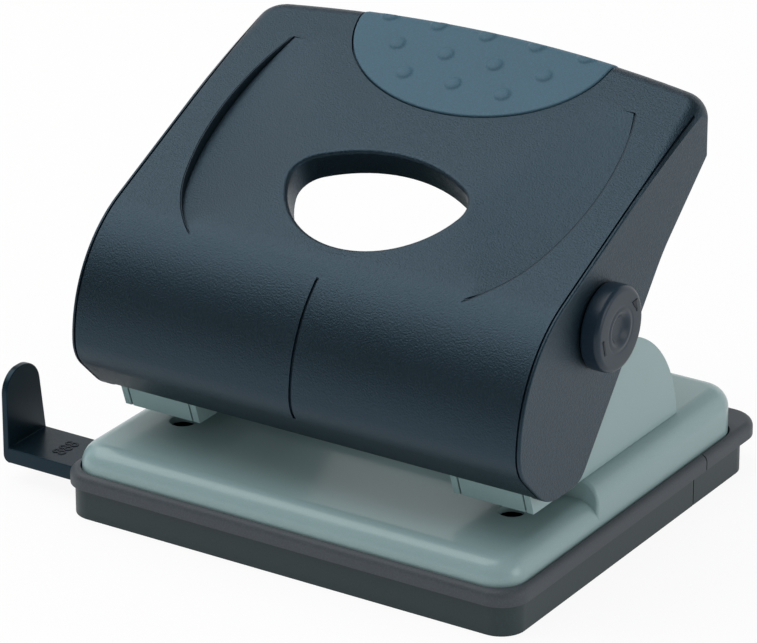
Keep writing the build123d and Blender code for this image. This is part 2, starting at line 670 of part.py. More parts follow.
def paper_guide():
    arm = block(GUIDE_STOP_X, GUIDE_END_X, GUIDE_FRONT_Y, GUIDE_REAR_Y, GUIDE_Z, GUIDE_Z + GUIDE_T)
    tongue = make_face(Polyline(
        (GUIDE_FRONT_Y, GUIDE_Z), (GUIDE_REAR_Y, GUIDE_Z), (GUIDE_REAR_Y - GUIDE_TAPER, GUIDE_STOP_TOP),
        (GUIDE_FRONT_Y, GUIDE_STOP_TOP), close=True))
    tongue = fillet(tongue.vertices().sort_by(Axis.Y)[-2:], GUIDE_TIP_ROUND)
    return arm + side_plate(tongue, GUIDE_STOP_X - GUIDE_STOP_T, GUIDE_STOP_X)


def guide_leaf():
    """Bowed leaf spring between the tray's front wall and the guide's edge."""
    wall = -TRAY_D / 2 + TRAY_WALL
    crown = GUIDE_FRONT_Y - SEAM_GAP
    half = LEAF_LENGTH / 2
    outer = ThreePointArc((LEAF_X - half, wall), (LEAF_X, crown), (LEAF_X + half, wall))
    inner_half = half - 2 * LEAF_T
    inner = ThreePointArc((LEAF_X + inner_half, wall), (LEAF_X, crown - LEAF_T), (LEAF_X - inner_half, wall))
    feet = [Line((LEAF_X + half, wall), (LEAF_X + inner_half, wall)),
            Line((LEAF_X - inner_half, wall), (LEAF_X - half, wall))]
    strip = make_face(Curve() + [outer, feet[0], inner, feet[1]])
    return extrude(Pos(0, 0, GUIDE_Z) * strip, GUIDE_T)


NODES = {
    "base_plate": base_plate(),
    "chip_tray": chip_tray(),
    "chip_drawer": chip_drawer(),
    "bracket_rivets": bracket_rivets(),
    "handle_cover": handle_cover(),
    "grip_pad": grip_pad(),
    "pivot_axle": pivot_axle(),
    "axle_rings": ring_pair(HOLE_X - EAR_SPAN / 2, AXLE_Y, AXLE_Z, AXLE_D),
    "press_bar": press_bar(),
    "press_bar_rings": ring_pair(RIB_X - RIB_T / 2, HOLE_Y, BAR_Z, BAR_D),
    "lock_knob": lock_knob(),
    "lock_washer": lock_washer(),
    "lock_pin": lock_pin(),
    "paper_guide": paper_guide(),
    "guide_leaf_spring": guide_leaf(),
}
for side_name, side_sign in SIDES.items():
    hole_x = side_sign * HOLE_X
    NODES[f"{side_name}_bracket"] = bracket(side_sign)
    NODES[f"{side_name}_punch_pin"] = punch_pin(hole_x)
    NODES[f"{side_name}_spring_ring"] = spring_ring(hole_x)
    NODES[f"{side_name}_guide_bush"] = guide_bush(hole_x)
    NODES[f"{side_name}_return_spring"] = return_spring(hole_x)

os.makedirs("parts", exist_ok=True)
for name, shape in NODES.items():
    export_step(shape, f"parts/{name}.step")
print("least gap in a spring", round(spring_gap(), 2))
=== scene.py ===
# %% [markdown]
# A two-hole desk punch, dressed for its picture.
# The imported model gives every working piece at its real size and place. This file finishes the
# surfaces and models what a plain solid lacks. Each step says what the piece is, how it could be
# made, and why it is made this way.

# %% Load the working model
import json
import math
import bpy
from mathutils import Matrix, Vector


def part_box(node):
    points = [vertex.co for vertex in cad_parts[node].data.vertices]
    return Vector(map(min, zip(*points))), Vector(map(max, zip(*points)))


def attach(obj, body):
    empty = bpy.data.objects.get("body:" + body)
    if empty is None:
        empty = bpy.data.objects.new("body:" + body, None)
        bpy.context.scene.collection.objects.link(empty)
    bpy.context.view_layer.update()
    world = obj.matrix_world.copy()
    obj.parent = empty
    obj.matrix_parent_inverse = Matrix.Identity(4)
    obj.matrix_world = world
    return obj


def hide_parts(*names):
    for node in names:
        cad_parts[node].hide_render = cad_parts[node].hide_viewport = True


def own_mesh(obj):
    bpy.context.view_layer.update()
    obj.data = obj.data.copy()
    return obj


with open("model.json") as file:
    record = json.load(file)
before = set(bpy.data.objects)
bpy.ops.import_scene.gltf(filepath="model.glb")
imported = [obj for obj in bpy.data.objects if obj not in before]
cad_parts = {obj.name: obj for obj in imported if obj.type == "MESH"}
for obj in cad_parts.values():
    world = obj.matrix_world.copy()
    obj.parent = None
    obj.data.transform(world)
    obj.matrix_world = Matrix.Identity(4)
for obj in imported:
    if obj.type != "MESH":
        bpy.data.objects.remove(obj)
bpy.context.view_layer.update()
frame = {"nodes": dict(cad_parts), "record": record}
MM = 0.001                       # the punch's sizes are in millimetres, the frame's and studio's in metres
record = frame["record"]
SLOT_OF = {part["node"]: part["material_slot"] for part in record["subparts"]}
BODY_OF = {node: body for body, nodes in record["behaviour"]["bodies"].items() for node in nodes}

# %% [markdown]
# The camera. The punch was photographed with a long lens from the front right, a little above.
# A camera could be aimed by eye, but here its place was worked out from known sizes on the punch,
# so straight edges fall where they should.

# %% Camera
CAMERA_PLACE = Vector((503.99, -800.77, 451.32)) * MM
CAMERA_TURN = (math.radians(66.406), 0.0, math.radians(32.592))
CAMERA_LENS = 238.2
CAMERA_FILM = 36.0


def set_camera():
    bpy.ops.object.camera_add(location=CAMERA_PLACE, rotation=CAMERA_TURN)
    camera = bpy.context.object
    camera.name = "picture_camera"
    camera.data.lens = CAMERA_LENS
    camera.data.sensor_width = CAMERA_FILM
    bpy.context.scene.camera = camera
    return camera


print("camera at", [round(v, 3) for v in set_camera().location])

# %% [markdown]
# Shader maths. A finish is a small network of nodes. It could be wired by hand in the node editor, one
# link at a time, but sums are easier to read as sums. A Wire holds one output socket. Adding or
# multiplying wires adds Math nodes, and its node method adds any other node.


# %% Wires for shader maths
class Wire:
    """An output socket of a material, with arithmetic that adds nodes."""

    def __init__(self, tree, socket):
        self.tree = tree
        self.socket = socket

    def node(self, kind, sockets, out=0, **settings):
        """Add a node: its settings first, then the values or wires of its sockets."""
        made = self.tree.nodes.new(kind)
        for name, value in settings.items():
            setattr(made, name, value)
        for key, value in sockets.items():
            if isinstance(value, Wire):
                self.tree.links.new(value.socket, made.inputs[key])
            else:
                made.inputs[key].default_value = value
        return Wire(self.tree, made.outputs[out])

    def math(self, operation, first, second=0.0):
        return self.node("ShaderNodeMath", {0: first, 1: second}, operation=operation)

    def __add__(self, other):
        return self.math("ADD", self, other)

    def __radd__(self, other):
        return self.math("ADD", other, self)

    def __sub__(self, other):
        return self.math("SUBTRACT", self, other)

    def __rsub__(self, other):
        return self.math("SUBTRACT", other, self)

    def __mul__(self, other):
        return self.math("MULTIPLY", self, other)

    def __rmul__(self, other):
        return self.math("MULTIPLY", other, self)

    def axes(self):
        """The three coordinates of a place or a direction, each as a wire."""
        split = self.node("ShaderNodeSeparateXYZ", {0: self}).socket.node
        return [Wire(self.tree, output) for output in split.outputs]

    def noise(self, size, detail=2.0):
        """Cloudy pattern whose patches are about one size, in millimetres."""
        return self.node("ShaderNodeTexNoise", {"Vector": self, "Scale": 1 / (size * MM), "Detail": detail})

    def stretched(self, x, y, z):
        """The same place, with each direction drawn out or pressed together."""
        return self.node("ShaderNodeMapping", {"Vector": self, "Scale": (x, y, z)})

    def between(self, low, high):
        """Nought below one value, one above another, and a soft step between them."""
        return self.node("ShaderNodeMapRange", {"Value": self, "From Min": low, "From Max": high},
                         interpolation_type="SMOOTHSTEP")

    def step_over(self, span):
        """The same soft step over a span of lengths in millimetres."""
        return self.between(span[0] * MM, span[1] * MM)

    def blend(self, first, second):
        """One colour where this is nought, the other where it is one."""
        return self.node("ShaderNodeMix", {0: self, 6: first, 7: second}, out=2, data_type="RGBA")

    def relief(self, height):
        """Surface direction for a pattern that stands up by a height, in millimetres."""
        return self.node("ShaderNodeBump", {"Height": self, "Distance": height * MM, "Strength": 1.0})


print("wires ready")

# %% [markdown]
# A new finish. Every finish starts as one plain shader with a colour and a few fixed values. It could be
# set up afresh each time, but a function does it the same way for all. It hands back the place on the
# piece, in the piece's own space, so that a pattern stays where it is when the piece moves.

# %% New finishes
WHITE = (1.0, 1.0, 1.0)


def shade(color, amount=1.0):
    """A colour made lighter or darker by a factor."""
    return tuple(channel * amount for channel in color) + (1.0,)


def new_finish(name, color, **fixed):
    """A material, a way to link into its shader, and the place on the piece as a wire."""
    finish = bpy.data.materials.new(name)
    finish.use_nodes = True
    tree = finish.node_tree
    shader = tree.nodes["Principled BSDF"]
    shader.inputs["Base Color"].default_value = shade(color)
    for socket, value in fixed.items():
        shader.inputs[socket.replace("_", " ")].default_value = value
    place = Wire(tree, tree.nodes.new("ShaderNodeTexCoord").outputs["Object"])

    def feed(socket, wire):
        tree.links.new(wire.socket, shader.inputs[socket])

    return finish, feed, place


print("ready for finishes")

# %% [markdown]
# The surround. The punch stood in a white studio. One bright world could light it from all sides, but
# then the dark hood would turn grey and the bend of its nose would vanish. So the world lights the punch
# weakly, the camera sees it white, and reflections see a white backdrop behind the punch, which fades
# into a dim ceiling and a dim room in front.

# %% Surround
WORLD_LEVEL = 0.53
DIM_LEVEL = 0.03
BACKDROP_TOP = (0.35, 0.65)      # height of a direction where the backdrop starts and ends to fade
BACKDROP_FRONT = (-0.35, 0.05)   # depth of a direction where the dim front ends and the backdrop starts


def is_ray(wire, kind):
    """One for rays of a kind, nought for the others."""
    path = wire.tree.nodes.new("ShaderNodeLightPath")
    return Wire(wire.tree, path.outputs[f"Is {kind} Ray"])


def is_mirrored(wire):
    """One for rays that a glossy or clear surface sends on."""
    return wire.math("MAXIMUM", is_ray(wire, "Glossy"), is_ray(wire, "Transmission"))


def set_world():
    world = bpy.data.worlds.new("studio")
    world.use_nodes = True
    tree = world.node_tree
    back = tree.nodes["Background"]
    back.inputs["Color"].default_value = shade(WHITE)
    direction = Wire(tree, tree.nodes.new("ShaderNodeTexCoord").outputs["Generated"])
    _, depth, height = direction.axes()
    backdrop = depth.between(*BACKDROP_FRONT) * (1 - height.between(*BACKDROP_TOP))
    mirrored = is_mirrored(direction)
    reflected = DIM_LEVEL + backdrop * (1 - DIM_LEVEL)
    level = mirrored * reflected + (1 - mirrored) * WORLD_LEVEL
    level = level.math("MAXIMUM", level, is_ray(direction, "Camera"))
    tree.links.new(level.socket, back.inputs["Strength"])
    bpy.context.scene.world = world


set_world()
print("surround at level", WORLD_LEVEL)

# %% [markdown]
# The floor. It is a sheet of pale card, which shows the punch's shadow and throws light up onto the nose.
# More light could make it white, but it would bleach the punch too. So the camera and the reflections see
# most of the card glow by itself, and the rest is lit, which keeps the shadow.

# %% Floor
FLOOR_SIZE = 8.0
FLOOR_COLOR = (0.82, 0.82, 0.82)
FLOOR_DRYNESS = 0.9
FLOOR_GLOW = 0.92
FLOOR_MIRRORED = 0.65            # part of that glow which reflections see


def set_floor():
    bpy.ops.object.select_all(action="DESELECT")
    bpy.ops.mesh.primitive_plane_add(size=FLOOR_SIZE)
    floor = bpy.context.object
    floor.name = "studio_floor"
    finish, _, place = new_finish("studio_floor", FLOOR_COLOR, Roughness=FLOOR_DRYNESS)
    tree = finish.node_tree
    lit = Wire(tree, tree.nodes["Principled BSDF"].outputs[0])
    glow = place.node("ShaderNodeEmission", {"Color": shade(WHITE), "Strength": 1.0})
    seen = place.math("MAXIMUM", is_mirrored(place) * FLOOR_MIRRORED, is_ray(place, "Camera"))
    mixed = place.node("ShaderNodeMixShader", {0: seen * FLOOR_GLOW, 1: lit, 2: glow})
    tree.links.new(mixed.socket, tree.nodes["Material Output"].inputs["Surface"])
    floor.data.materials.append(finish)


set_floor()
print("floor of", FLOOR_SIZE, "m")

# %% [markdown]
# The lamps. A broad soft lamp hangs above, to the left and a little in front, and a weak one stands low
# on the right. Small lamps could stand there, but they would throw hard shadows and put a glaring spot on
# the hood.

# %% Lamps
LAMPS = {
    "overhead_lamp": {"place": (-0.50, -0.12, 1.10), "size": 1.2, "power": 11.0},
    "right_lamp": {"place": (1.25, 0.15, 0.30), "size": 0.7, "power": 2.8},
}


def set_lamp(name, place, size, power):
    """A square lamp that faces the punch."""
    bpy.ops.object.light_add(type="AREA", location=place)
    lamp = bpy.context.object
    lamp.name = name
    lamp.data.size = size
    lamp.data.energy = power
    lamp.rotation_euler = (-Vector(place)).to_track_quat("-Z", "Y").to_euler()


for lamp_name, lamp_facts in LAMPS.items():
    set_lamp(lamp_name, **lamp_facts)
bpy.context.scene.view_settings.view_transform = "Standard"
print("studio with", len(LAMPS), "lamps")

# %% [markdown]
# Grained plastic. The hood is moulded with a fine sand-like grain, which breaks up its shine. A picture of
# such a grain could be laid on it, but a noise in the piece's own millimetres has no seams and is sharp
# at any distance. The grain is relief, and the same noise also varies colour and gloss a little.

# %% Grained plastic
FINE_DETAIL = 3.0                # octaves of a fine noise
CLOUD_SIZE = 25.0
SPECK_LEVELS = (0.35, 0.75)      # levels of the noise where the top of a grain starts and is full
SPECK_SHARE = 0.7                # of the change in colour, and the clouds have the rest
CLOUD_SHARE = 0.3


def grained(place, grain):
    """A fine grain, the specks on top of it and a wide cloud."""
    fine = place.noise(grain, FINE_DETAIL)
    return fine, fine.between(*SPECK_LEVELS), place.noise(CLOUD_SIZE)


def mottled(pattern, color, darker=0.86, lighter=1.22):
    """A colour that goes from darker to lighter with a pattern."""
    return pattern.blend(shade(color, darker), shade(color, lighter))


def moulded_plastic(name, color, grain, height, gloss, shine, sheen=WHITE, groove=None):
    """Grained plastic. Grain and height are in millimetres, and gloss is the roughness between grains."""
    finish, feed, place = new_finish(name, color, Specular_IOR_Level=shine, Specular_Tint=shade(sheen))
    fine, speck, cloud = grained(place, grain)
    feed("Base Color", mottled(speck * SPECK_SHARE + cloud * CLOUD_SHARE, color))
    feed("Roughness", gloss + speck * 0.10 + cloud * 0.05)
    feed("Normal", (fine - groove(place) if groove else fine).relief(height))
    return finish


print("grain with clouds of", CLOUD_SIZE, "mm")

# %% [markdown]
# The hood's plastic. A crease runs down either side of the hood's top, seen as a thin dark line. The
# solid has it as a fine groove at the foot of a step. It could be cut wider, but from the front the step
# itself hides its middle part. So the finish also sinks a line just outside the step, along the two arcs
# of the crease.

# %% Hood plastic
HOOD_COLOR = (0.005, 0.011, 0.016)
HOOD_SHEEN = (0.47, 0.76, 1.0)
TOP_SLOPE = math.radians(24.9)   # of the hood's top
TOP_Z = 77.7 * MM                # where the top crosses the upright line through the origin
SIDE_CIRCLE = (-23.62, -1.86, 68.55)   # middle across and along the slope, and radius
FOOT_CIRCLE = (12.57, -12.38, 30.86)
CREASE_TURN = (-21.01, -20.99)   # along the slope, the foot's circle takes over from the side's here
CREASE_FOOT = (26.0, 34.0)       # across, the line fades in here
CREASE_END = (20.0, 21.0)        # along the slope, it ends here
CREASE_SKIN = (-0.5, -0.3)       # over the top, it keeps to the outer face
CREASE_OUT = 0.3
CREASE_HALF = 0.25
CREASE_GRAINS = 3.5              # depth of the line, in heights of the grain


def crease_groove(place):
    """Depth of a fine line just outside either crease of the hood, in heights of the grain."""
    x, y, z = place.axes()
    side = x.math("ABSOLUTE", x)
    rise = z - TOP_Z
    along = y * math.cos(TOP_SLOPE) + rise * math.sin(TOP_SLOPE)
    over = rise * math.cos(TOP_SLOPE) - y * math.sin(TOP_SLOPE)

    def off_circle(middle_x, middle_y, radius):
        across = side - middle_x * MM
        up = along - middle_y * MM
        reach = x.math("SQRT", across * across + up * up)
        return x.math("ABSOLUTE", reach - (radius + CREASE_OUT) * MM)

    upper = along.step_over(CREASE_TURN)
    off = off_circle(*SIDE_CIRCLE) * upper + off_circle(*FOOT_CIRCLE) * (1 - upper)
    ends = side.step_over(CREASE_FOOT) * (1 - along.step_over(CREASE_END))
    line = (1 - off.step_over((0.0, CREASE_HALF))) * ends * over.step_over(CREASE_SKIN)
    return line * CREASE_GRAINS


def handle_plastic():
    return moulded_plastic("handle_plastic", HOOD_COLOR, grain=0.36, height=0.10, gloss=0.37, shine=0.70,
                           sheen=HOOD_SHEEN, groove=crease_groove)


print("hood plastic with a crease line of", 2 * CREASE_HALF, "mm")

# %% [markdown]
# The tray's plastic. The tray has two tiers, a wall below and a drier rim over it. Painted light makes
# the rim lighter, and painted shade under its overhang makes the wall darker. The rim could be a piece of
# its own, but the real tray is a single moulding, so one finish changes where the rim starts.

# %% Tray plastic
# the wall's colour holds painted shade under the rim, and the rim's colour holds painted light
WALL_SHADED_COLOR = (0.018, 0.036, 0.040)
RIM_LIT_COLOR = (0.054, 0.066, 0.078)
RIM_LINE = (6.5, 6.9)            # height where the lower tier ends and the rim starts
TRAY_GRAIN = 0.35
TRAY_GRAIN_HEIGHT = 0.018


def tray_plastic():
    finish, feed, place = new_finish("tray_plastic", WALL_SHADED_COLOR, Specular_IOR_Level=0.4)
    rim = place.axes()[2].step_over(RIM_LINE)
    fine, speck, cloud = grained(place, TRAY_GRAIN)
    pattern = speck * SPECK_SHARE + cloud * CLOUD_SHARE
    # painted light on the rim and painted shade on the wall below it
    feed("Base Color", rim.blend(mottled(pattern, WALL_SHADED_COLOR), mottled(pattern, RIM_LIT_COLOR)))
    feed("Roughness", 0.40 + rim * 0.08 + pattern * 0.12)
    feed("Normal", fine.relief(TRAY_GRAIN_HEIGHT))
    return finish


print("tray plastic with its rim from", RIM_LINE[1], "mm up")

# %% [markdown]
# The other plastics. The grip pad is matt rubber, the knob and the paper guide are smooth, and the marks
# are dark paint. Each could have a network of its own, but they differ only in colour, grain and gloss,
# so one recipe makes them all.

# %% Rubber, knob, guide and marks
GRIP_COLOR = (0.056, 0.118, 0.163)
KNOB_COLOR = (0.012, 0.026, 0.042)
GUIDE_COLOR = (0.005, 0.014, 0.021)
MARK_COLOR = (0.010, 0.016, 0.024)


def grip_rubber():
    return moulded_plastic("grip_rubber", GRIP_COLOR, grain=0.25, height=0.012, gloss=0.52, shine=0.22)


def knob_plastic():
    return moulded_plastic("knob_plastic", KNOB_COLOR, grain=0.3, height=0.008, gloss=0.28, shine=0.3)


def guide_plastic():
    return moulded_plastic("guide_plastic", GUIDE_COLOR, grain=0.5, height=0.006, gloss=0.27, shine=0.30,
                           sheen=HOOD_SHEEN)


def mark_paint():
    return moulded_plastic("mark_paint", MARK_COLOR, grain=0.3, height=0.006, gloss=0.5, shine=0.3)


print("plastics and rubber ready")

# %% [markdown]
# The metals. The base and brackets are painted a greenish silver grey under a thin clear coat. The inner
# steel is bare. Turned rods show rings round them and ground pins show fine lines. Both could be
# engraved, but they are far finer than any mesh, so they are the same noise drawn out along one
# direction.

# %% Paint and steel
PAINT_COLOR = (0.27, 0.39, 0.40)
FLAKE_SIZE = 0.16
FLAKE_LEVELS = (0.4, 0.8)
PAINT_CLOUD = 18.0
PAINT_RIPPLE = 0.9
PAINT_RIPPLE_HEIGHT = 0.006
STEEL_COLOR = (0.55, 0.55, 0.56)
PIN_COLOR = (0.62, 0.62, 0.63)
SPRING_COLOR = (0.58, 0.58, 0.58)
STEEL_LINE = 0.2
STEEL_LINE_HEIGHT = 0.004
STEEL_CLOUD = 6.0


def silver_paint():
    """Fine flakes in the paint, and slow ripples in its coat."""
    finish, feed, place = new_finish("silver_paint", PAINT_COLOR, Metallic=0.05, Coat_Weight=0.45,
                                     Coat_Roughness=0.14, Specular_IOR_Level=0.3)
    flakes = place.noise(FLAKE_SIZE, 1.0).between(*FLAKE_LEVELS)
    cloud = place.noise(PAINT_CLOUD)
    feed("Base Color", mottled(flakes * 0.6 + cloud * 0.4, PAINT_COLOR, darker=0.92, lighter=1.10))
    feed("Roughness", 0.36 + flakes * 0.08 + cloud * 0.05)
    feed("Normal", place.noise(PAINT_RIPPLE).relief(PAINT_RIPPLE_HEIGHT))
    return finish


def lined_steel(name, color, stretch, gloss):
    """Bare steel with fine lines. The stretch is small along the lines."""
    finish, feed, place = new_finish(name, color, Metallic=1.0)
    lines = place.stretched(*stretch).noise(STEEL_LINE, FINE_DETAIL)
    cloud = place.noise(STEEL_CLOUD)
    feed("Base Color", mottled(lines * 0.6 + cloud * 0.4, color, darker=0.82, lighter=1.12))
    feed("Roughness", gloss + lines * 0.18 + cloud * 0.08)
    feed("Normal", lines.relief(STEEL_LINE_HEIGHT))
    return finish


def plain_steel():
    return lined_steel("plain_steel", STEEL_COLOR, stretch=(1.0, 0.15, 0.15), gloss=0.22)


def pin_steel():
    return lined_steel("pin_steel", PIN_COLOR, stretch=(0.2, 0.2, 1.0), gloss=0.16)


def spring_steel():
    return lined_steel("spring_steel", SPRING_COLOR, stretch=(1.0, 1.0, 1.0), gloss=0.2)


FINISHES = {make.__name__: make() for make in (
    handle_plastic, grip_rubber, knob_plastic, tray_plastic, guide_plastic, mark_paint, silver_paint,
    plain_steel, pin_steel, spring_steel)}
print("finishes:", ", ".join(sorted(FINISHES)))

# %% [markdown]
# Hand tools. By hand, a piece is clicked on, taken into edit mode, changed and left again, and a modifier
# is added, set and applied. These steps could be written out each time, but as small tools they keep each
# piece's own code short.


# %% Hand tools
def focus(piece):
    """Make one piece the only selected one."""
    bpy.ops.object.select_all(action="DESELECT")
    piece.select_set(True)
    bpy.context.view_layer.objects.active = piece


def edit_all(piece):
    """Enter edit mode with the whole piece selected."""
    focus(piece)
    bpy.ops.object.mode_set(mode="EDIT")
    bpy.ops.mesh.select_all(action="SELECT")


def done():
    bpy.ops.object.mode_set(mode="OBJECT")


def apply_modifier(piece, kind, **settings):
    focus(piece)
    modifier = piece.modifiers.new(kind.lower(), kind)
    for name, value in settings.items():
        setattr(modifier, name, value)
    bpy.ops.object.modifier_apply(modifier=modifier.name)


def smooth(piece, angle):
    """Shade smoothly, with sharp edges only where faces meet at more than an angle."""
    focus(piece)
    bpy.ops.object.shade_smooth_by_angle(angle=math.radians(angle))
    apply_modifier(piece, "WEIGHTED_NORMAL", keep_sharp=True)


def place_piece(piece, node):
    """Give a piece its finish, and let it stand for a working piece and move with it."""
    piece.data.materials.clear()
    piece.data.materials.append(FINISHES[SLOT_OF[node]])
    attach(piece, BODY_OF[node])
    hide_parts(node)


print("tools ready")

# %% [markdown]
# Dressing a working piece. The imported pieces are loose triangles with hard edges, as a machine would read
# them. Real edges are never quite sharp, and they catch a thin line of light. Each piece could be modelled
# again, but a copy of it is exact: its triangles are joined, its flat faces made whole, its edges rounded
# a little, and its shading made smooth across everything that is really one curve.

# %% Copies of working pieces
JOIN_WITHIN = 0.002
FLAT_WITHIN = 0.2                # degrees between the triangles of one flat face
EDGE_ANGLE = 30.0                # degrees from which a bend counts as an edge


def joined_copy(node, name, whole_faces=False):
    """A copy of a working piece whose triangles are joined, and its flat faces made whole if asked for."""
    piece = bpy.data.objects.new(name, frame["nodes"][node].data.copy())
    bpy.context.scene.collection.objects.link(piece)
    focus(piece)
    bpy.ops.mesh.customdata_custom_splitnormals_clear()
    edit_all(piece)
    bpy.ops.mesh.remove_doubles(threshold=JOIN_WITHIN * MM)
    if whole_faces:
        bpy.ops.mesh.dissolve_limited(angle_limit=math.radians(FLAT_WITHIN))
    done()
    return piece


def dressed_copy(node, soften):
    """A joined copy with smooth shading, and edges softened by a width in millimetres."""
    piece = joined_copy(node, node + "_dressed", whole_faces=soften > 0)
    if soften:
        apply_modifier(piece, "BEVEL", width=soften * MM, segments=2, limit_method="ANGLE",
                       angle_limit=math.radians(EDGE_ANGLE))
    smooth(piece, EDGE_ANGLE)
    place_piece(piece, node)
    return piece


print("copies join within", JOIN_WITHIN, "mm")

# %% [markdown]
# The hood, the base plate and its brackets, the tray and its drawer, and all that works inside. One width
# of softened edge could do for all of them, but moulded plastic is rounder than pressed sheet, and turned
# rings and pins have only a fine chamfer. So each gets its own, and none where the solid is round
# already.

# %% Dressed pieces
SOFT_EDGES = {
    "handle_cover": 0.0, "base_plate": 0.0, "chip_tray": 0.25, "chip_drawer": 0.25, "left_bracket": 0.2,
    "right_bracket": 0.2, "bracket_rivets": 0.3, "pivot_axle": 0.3, "press_bar": 0.3, "axle_rings": 0.15,
    "press_bar_rings": 0.15, "lock_washer": 0.1, "lock_pin": 0.2, "left_guide_bush": 0.25,
    "right_guide_bush": 0.25, "left_spring_ring": 0.15, "right_spring_ring": 0.15, "left_punch_pin": 0.1,
    "right_punch_pin": 0.1, "guide_leaf_spring": 0.08,
}
dressed = [dressed_copy(node, width) for node, width in SOFT_EDGES.items()]
print("dressed", len(dressed), "pieces")

# %% [markdown]
# Picking. In edit mode a person clicks on the faces and edges to change. They could be named by number,
# but numbers change with every cut. So a test on their place picks them, which always finds the same
# ones.

# %% Picking faces and edges by place
NEAR = 0.01 * MM
FACING = 0.99                    # least part of a face's normal along the way it has to point


def pick(piece, faces=None, edges=None):
    """Enter edit mode with only the faces, or the edges, that pass a test selected."""
    mesh = piece.data
    for item in [*mesh.vertices, *mesh.edges, *mesh.polygons]:
        item.select = False
    bpy.context.tool_settings.mesh_select_mode = (False, edges is not None, faces is not None)
    if faces:
        for face in mesh.polygons:
            face.select = faces(face.center, face.normal)
    if edges:
        for edge in mesh.edges:
            start, end = (mesh.vertices[k].co for k in edge.vertices)
            edge.select = edges(start, end)
    focus(piece)
    bpy.ops.object.mode_set(mode="EDIT")


print("picking within", round(NEAR / MM, 3), "mm")

# %% [markdown]
# The grip pad. It is soft rubber set into the hood, with low domes that melt into its surface. Each dome
# could be modelled and joined on, but here a copy of the pad is built up again from tiny cubes, which
# joins domes and pad into one skin, and then smoothed, which rounds every edge as rubber is rounded.
# Smoothing also flattens the domes, so they are pushed out a little beforehand.

# %% Grip pad
PAD_CUBE = 0.25
PAD_SMOOTHING = 3
DOME_RAISE = 0.25
DOME_START = 0.45                # faces that lie higher than this over the hood's top belong to domes


def above_top(place):
    """Height of a place over the hood's sloping top."""
    return (place.z - TOP_Z) * math.cos(TOP_SLOPE) - place.y * math.sin(TOP_SLOPE)


def grip_pad():
    pad = joined_copy("grip_pad", "grip_pad_rubber")
    pick(pad, faces=lambda centre, normal: above_top(centre) > DOME_START * MM)
    bpy.ops.transform.shrink_fatten(value=DOME_RAISE * MM)
    done()
    apply_modifier(pad, "REMESH", mode="VOXEL", voxel_size=PAD_CUBE * MM, use_smooth_shade=True)
    apply_modifier(pad, "SMOOTH", factor=0.5, iterations=PAD_SMOOTHING)
    place_piece(pad, "grip_pad")
    return pad


print("grip pad with", len(grip_pad().data.polygons), "faces")

# %% [markdown]
# The lock knob. A moulded disc with a rounded rim, a shallow ring and a dimple in its face, on a shaft
# that goes through the hood's wall. It could be one outline spun round, but a disc whose face is inset
# again and again, each time a little deeper or higher, is quicker to adjust.

# %% Lock knob
KNOB_SIDES = 128
KNOB_GAP = 0.3
KNOB_RIM = 1.2
KNOB_BACK_RIM = 0.5
KNOB_SHAFT = 9.0
KNOB_ANGLE = 40.0                # degrees from which a bend of the knob counts as an edge
KNOB_FACE_STEPS = ((2.6, 0.0), (0.3, -0.08), (0.45, 0.0), (0.3, 0.08), (0.5, 0.0), (0.5, -0.25),
                   (0.6, -0.5), (0.6, -0.25))   # from the rim inwards, width and rise of each inset
knob_low, knob_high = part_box("lock_knob")
knob_mid = (knob_low + knob_high) / 2
knob_r = (knob_high.z - knob_low.z) / 2
knob_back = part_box("handle_cover")[1].x + KNOB_GAP * MM


def lock_knob():
    bpy.ops.object.select_all(action="DESELECT")
    middle = ((knob_back + knob_high.x) / 2, knob_mid.y, knob_mid.z)
    bpy.ops.mesh.primitive_cylinder_add(vertices=KNOB_SIDES, radius=knob_r, depth=knob_high.x - knob_back,
                                        location=middle, rotation=(0, math.pi / 2, 0))
    knob = bpy.context.object
    knob.name = "lock_knob_moulded"
    bpy.ops.object.transform_apply()
    pick(knob, edges=lambda a, b: min(a.x, b.x) > knob_high.x - NEAR)
    bpy.ops.mesh.bevel(offset=KNOB_RIM * MM, segments=6)
    done()
    pick(knob, edges=lambda a, b: max(a.x, b.x) < knob_back + NEAR)
    bpy.ops.mesh.bevel(offset=KNOB_BACK_RIM * MM, segments=3)
    done()
    pick(knob, faces=lambda centre, normal: normal.x > FACING and centre.x > knob_high.x - NEAR)
    for width, rise in KNOB_FACE_STEPS:
        bpy.ops.mesh.inset(thickness=width * MM, depth=rise * MM)
    done()
    pick(knob, faces=lambda centre, normal: normal.x < -FACING and centre.x < knob_back + NEAR)
    bpy.ops.mesh.inset(thickness=knob_r - (KNOB_BACK_RIM + KNOB_SHAFT / 2) * MM)
    bpy.ops.mesh.extrude_region_move(TRANSFORM_OT_translate={"value": (knob_low.x - knob_back, 0, 0)})
    done()
    smooth(knob, KNOB_ANGLE)
    place_piece(knob, "lock_knob")
    return knob


print("knob with", len(lock_knob().data.polygons), "faces")

# %% [markdown]
# The knob's marks: a short bar and an arrow that show which way it locks. They could be cut into the face,
# but thin raised bars, bevelled all round, take ink-dark paint cleanly.

# %% Knob marks
MARK_HIGH = 0.12
MARK_EDGE = 0.05
MARK_R = 6.6
BAR_SIZE = (3.4, 0.55)
BAR_ANGLE = 195.0
ARROW_R = 1.1
ARROW_ANGLE = 36.0
STEM_SIZE = (1.8, 0.5)
STEM_BEHIND = 12.0               # degrees by which the stem follows the arrow's head


def place_mark(mark, name, node):
    """Name and paint a mark, and let it move with the piece that it is on."""
    mark.name = name
    mark.data.materials.append(FINISHES["mark_paint"])
    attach(mark, BODY_OF[node])


def finish_mark(mark, name):
    bpy.ops.object.transform_apply()
    apply_modifier(mark, "BEVEL", width=MARK_EDGE * MM, segments=2)
    place_mark(mark, name, "lock_knob")


def on_knob(angle, radius):
    """A place on the knob's face, by its angle from the rear and its distance from the middle."""
    turn = math.radians(angle)
    offset = Vector((0.0, math.cos(turn), math.sin(turn))) * radius * MM
    return Vector((knob_high.x, knob_mid.y, knob_mid.z)) + offset


